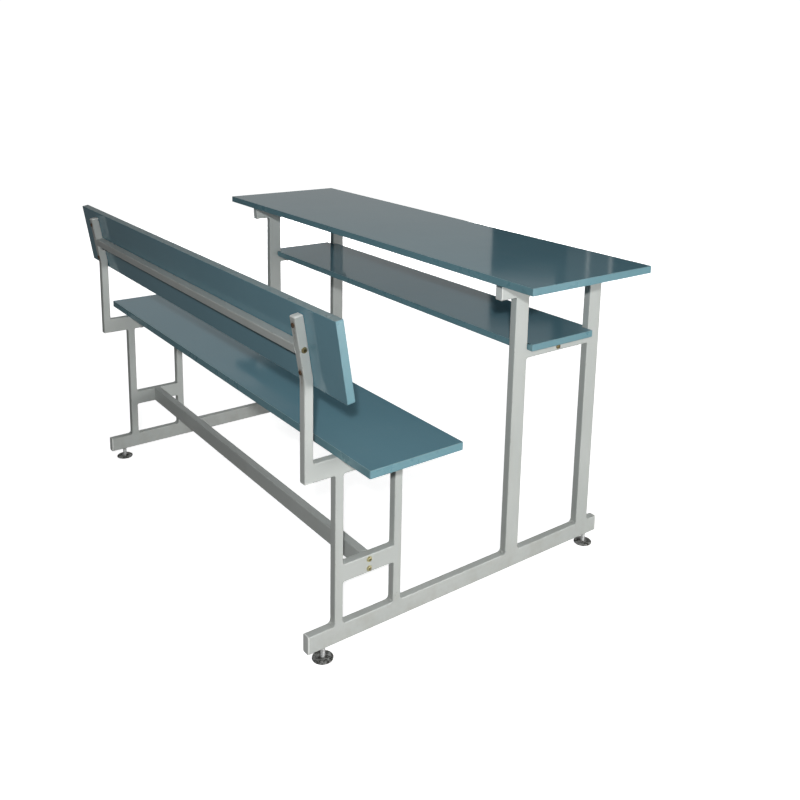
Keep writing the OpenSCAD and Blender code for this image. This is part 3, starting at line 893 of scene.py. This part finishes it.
def plugs():
    rail_plugs("foot_rail_plugs", "foot_rail_end_plugs", "foot_rail", FOOT_FLANGE, (-1, 1))
    rail_plugs("top_rail_plugs", "top_rail_end_plugs", "top_rail", RAIL_FLANGE, (-1, 1))
    rail_plugs("seat_rail_plugs", "seat_rail_end_plugs", "seat_rail", RAIL_FLANGE, (1,))
    bm = bmesh.new()
    for _, sign in SIDES:
        place = SLOPE @ Matrix.Translation((sign * FRAME_X, 0, UPRIGHT_TOP - CAP))
        plug_mesh(bm, place, TUBE, TUBE, CAP, bevel=2 * MM)
    plug_piece("upright_caps", "upright_top_caps", bm, angle=30)
    bm = bmesh.new()
    for side, sign in SIDES:
        foot_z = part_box(f"{side}_back_upright")[0].z
        plug_mesh(bm, facing((sign * FRAME_X, UPRIGHT_Y, foot_z), (0, 0, -1)), TUBE, TUBE, CAP)
    plug_piece("upright_plugs", "upright_bottom_plugs", bm)


def middle_yz(node):
    """The middle of a node's box, seen along X."""
    lo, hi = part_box(node)
    return (lo.y + hi.y) / 2, (lo.z + hi.z) / 2


def bolts(node, places, finish):
    """Button bolts through both side frames' outer faces. The places are (y, z)."""
    heads = [facing((sign * OUT_X, y, z), (sign, 0, 0)) for _, sign in SIDES for y, z in places]
    name = node.removesuffix("s") + "_heads"
    fastener_piece(name, node, heads, button_bolt, SHANK, MAT[finish])


def fasteners():
    y, z = middle_yz("stretcher_bolts")
    bolts("stretcher_bolts", ((y, z - BOLT_SPREAD), (y, z + BOLT_SPREAD)), "yellow")
    bolts("shelf_beam_bolts", (middle_yz("shelf_beam_bolts"),), "aged")
    bolts("cross_tube_bolts", ((SLOPE @ Vector((0, 0, CROSS_S))).yz,), "aged")
    back = SLOPE.to_3x3() @ Vector((0, -1, 0))
    spots = [Vector((sign * FRAME_X, -TUBE / 2, s)) for _, sign in SIDES for s in SCREW_S]
    heads = [facing(SLOPE @ spot, back) for spot in spots]
    fastener_piece("backrest_screw_heads", "backrest_screws", heads, pan_screw, SHANK, MAT["rusted"])
    # The screws up through the rails: their CAD node, rail and length
    rows = (("seat_screws", "seat_rail", 50 * MM),
            ("desk_top_screws", "top_rail", 50 * MM),
            ("shelf_screws", "shelf_rail", 30 * MM))
    for node, rail, bite in rows:
        lo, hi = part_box(node)
        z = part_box(f"right_{rail}")[0].z
        ends = (lo.y + PAN_HEAD_R, hi.y - PAN_HEAD_R)
        heads = [facing((sign * FRAME_X, y, z), (0, 0, -1)) for _, sign in SIDES for y in ends]
        fastener_piece(node + "_heads", node, heads, pan_screw, bite, MAT["bright"])


def hidden_parts():
    """CAD nodes that keep their shape and only get a material."""
    for node in ("stretcher_end_plates", "cross_tube_end_plates", "shelf_beam_end_plates", "foot_weld_nuts"):
        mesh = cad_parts[node].data
        mesh.materials.clear()
        mesh.materials.append(MAT["steel"])


# ---------- studio ----------

def light(name, place, target, width, height, power, colour=(1, 1, 1), mirrored=True):
    """An area lamp. Where it isn't mirrored it lights the object but shows in no gloss."""
    data = bpy.data.lights.new(name, "AREA")
    data.shape = "RECTANGLE"
    data.size, data.size_y = width, height
    data.energy = power
    data.color = colour
    lamp = bpy.data.objects.new(name, data)
    lamp.location = place
    lamp.rotation_euler = (Vector(target) - Vector(place)).to_track_quat("-Z", "Y").to_euler()
    lamp.visible_camera = False
    lamp.visible_glossy = mirrored
    bpy.context.scene.collection.objects.link(lamp)


def standing_light(name, left, right, low, high, radiance):
    """An upright panel between two places on the floor, for the laminate to mirror. It faces right
    of the way from its left end to its right end."""
    half_up = (low + high) / 2
    a, b = Vector((*left, half_up)), Vector((*right, half_up))
    across, middle = b - a, (a + b) / 2
    target = middle + Vector((across.y, -across.x, 0))
    width, height = across.length, high - low
    power = radiance * math.pi * width * height
    light(name, middle, target, width, height, power, (1.0, 1.0, 0.97))


def stage_piece(name, rings, closed_start, material):
    """A round piece of the studio, from its inner ring outward."""
    bm = bmesh.new()
    made = skin(bm, rings)
    if closed_start:
        cap(bm, made[0], True)
    bmesh.ops.recalc_face_normals(bm, faces=bm.faces)
    mesh = bpy.data.meshes.new(name)
    bm.to_mesh(mesh)
    bm.free()
    for polygon in mesh.polygons:
        polygon.use_smooth = True
    mesh.materials.append(material)
    piece = bpy.data.objects.new(name, mesh)
    bpy.context.scene.collection.objects.link(piece)
    piece.visible_diffuse = False
    return piece


def pale(name, inner, outer, dark=False):
    """Studio white. It glows from inner at the middle to outer far off, where the lamps reach
    less. Dark has the glow alone."""
    p = Paint(name, Specular_IOR_Level=0.0)
    tone = 0.0 if dark else 0.70
    colour = p.blend(p.noise(2.0, 3), (tone,) * 3, (tone * 1.03,) * 3)
    p.shader.inputs["Emission Color"].default_value = (1, 1, 1, 1)
    distance = p.node("ShaderNodeVectorMath", operation="LENGTH")
    p.link(p.place, distance.inputs[0])
    glow = p.span(distance.outputs["Value"], 0.8, 4.5, inner, outer)
    p.link(glow, p.shader.inputs["Emission Strength"])
    return p.finish(colour, p.span(p.noise(60.0, 3), 0.3, 0.7, 0.8, 0.9))


def backdrop():
    """A white floor and wall that show in no gloss, and under them a dim floor that shows only
    there, so the boards mirror a darker room than the one seen."""
    radii = (0.5, 2, 4, 7, 9)
    cove_r, wall_high, around = 2.5, 9, 96
    floor = stage_piece("studio_floor", [circle(r, 0, around) for r in radii], True,
                        pale("studio_floor", 0.80, 0.97))
    cove = []
    for degrees in range(0, 91, 10):
        a = math.radians(degrees)
        cove.append(circle(radii[-1] + cove_r * math.sin(a), cove_r - cove_r * math.cos(a), around))
    cove.append(circle(radii[-1] + cove_r, wall_high, around))
    wall = stage_piece("studio_wall", cove, False, pale("studio_wall", 0.97, 0.97))
    for piece in (floor, wall):
        piece.visible_glossy = False
    sheen = stage_piece("studio_floor_sheen", [circle(r, -2 * MM, around) for r in radii], True,
                        pale("studio_sheen", 0.10, 0.10, True))
    sheen.visible_camera = False
    sheen.visible_shadow = False


def studio():
    """The front lamp stands for the flash near the photograph's camera, and the standing lights for
    the windows and the door that the boards mirror. The rear pane is for the views from behind."""
    backdrop()
    world = bpy.data.worlds.new("studio")
    bpy.context.scene.world = world
    world.use_nodes = True
    world.cycles_visibility.glossy = False
    background = world.node_tree.nodes["Background"]
    background.inputs["Color"].default_value = (0.96, 0.98, 1.0, 1)
    background.inputs["Strength"].default_value = 0.07
    light("key", (3.1, 0.80, 0.58), (0.3, 0, 0.38), 1.6, 1.1, 45.5, (1.0, 0.99, 0.97))
    light("overhead", (0.6, 1.0, 4.5), (0.2, 0, 0.5), 3.5, 3.0, 26, mirrored=False)
    light("front", (2.50, -1.66, 1.71), (0.1, 0, 0.45), 0.10, 0.10, 50, (1.0, 1.0, 0.99), mirrored=False)
    light("rear", (-3.2, 2.9, 0.75), (0, 0, 0.45), 2.5, 1.3, 105, mirrored=False)
    window_left, window_right = (-4.60, 0.476), (-2.427, 2.826)
    standing_light("window", window_left, window_right, 0.9, 2.05, 0.42)
    standing_light("window_head", window_left, window_right, 2.05, 2.25, 0.20)
    standing_light("pane", window_right, (-2.119, 3.136), 1.75, 2.9, 0.22)
    standing_light("door", (-2.068, 3.182), (-1.849, 3.374), 1.5, 2.6, 0.07)
    standing_light("door_gap_a", (-1.970, 3.269), (-1.956, 3.285), 1.5, 2.6, 0.35)
    standing_light("door_gap_b", (-1.856, 3.366), (-1.842, 3.382), 1.5, 2.6, 0.40)
    standing_light("rear_pane", (4.3, -1.9), (2.1, -4.1), 1.15, 2.3, 0.22)
    bpy.context.scene.view_settings.view_transform = "Standard"


def camera():
    """The viewpoint of the photograph. Its uprights are parallel, as through a lens shifted down.
    This camera is shifted part of the way, and tilted for the rest."""
    data = bpy.data.cameras.new("camera")
    data.sensor_width = 36
    data.lens = 40.34
    data.shift_x = -0.0085
    data.shift_y = -0.21
    cam = bpy.data.objects.new("camera", data)
    right = Vector((0.60088, 0.79906, 0.02081))
    down = Vector((0.16861, -0.10127, -0.98047))
    ahead = Vector((-0.78134, 0.59265, -0.19558))
    place = Vector((1.97926, -1.24585, 1.22949))
    turn = Matrix((right, -down, -ahead)).transposed().to_4x4()
    cam.matrix_world = Matrix.Translation(place) @ turn
    bpy.context.scene.collection.objects.link(cam)
    bpy.context.scene.camera = cam


camera()
tubes()
flat_board("desk_top", "desk_top", "desk_top_edge_band")
flat_board("seat", "seat_board", "seat_edge_band")
backrest()
shelf()
plugs()
fasteners()
welds()
for side, _ in SIDES:
    for end in ("rear", "front"):
        foot(side, end)
hidden_parts()
studio()
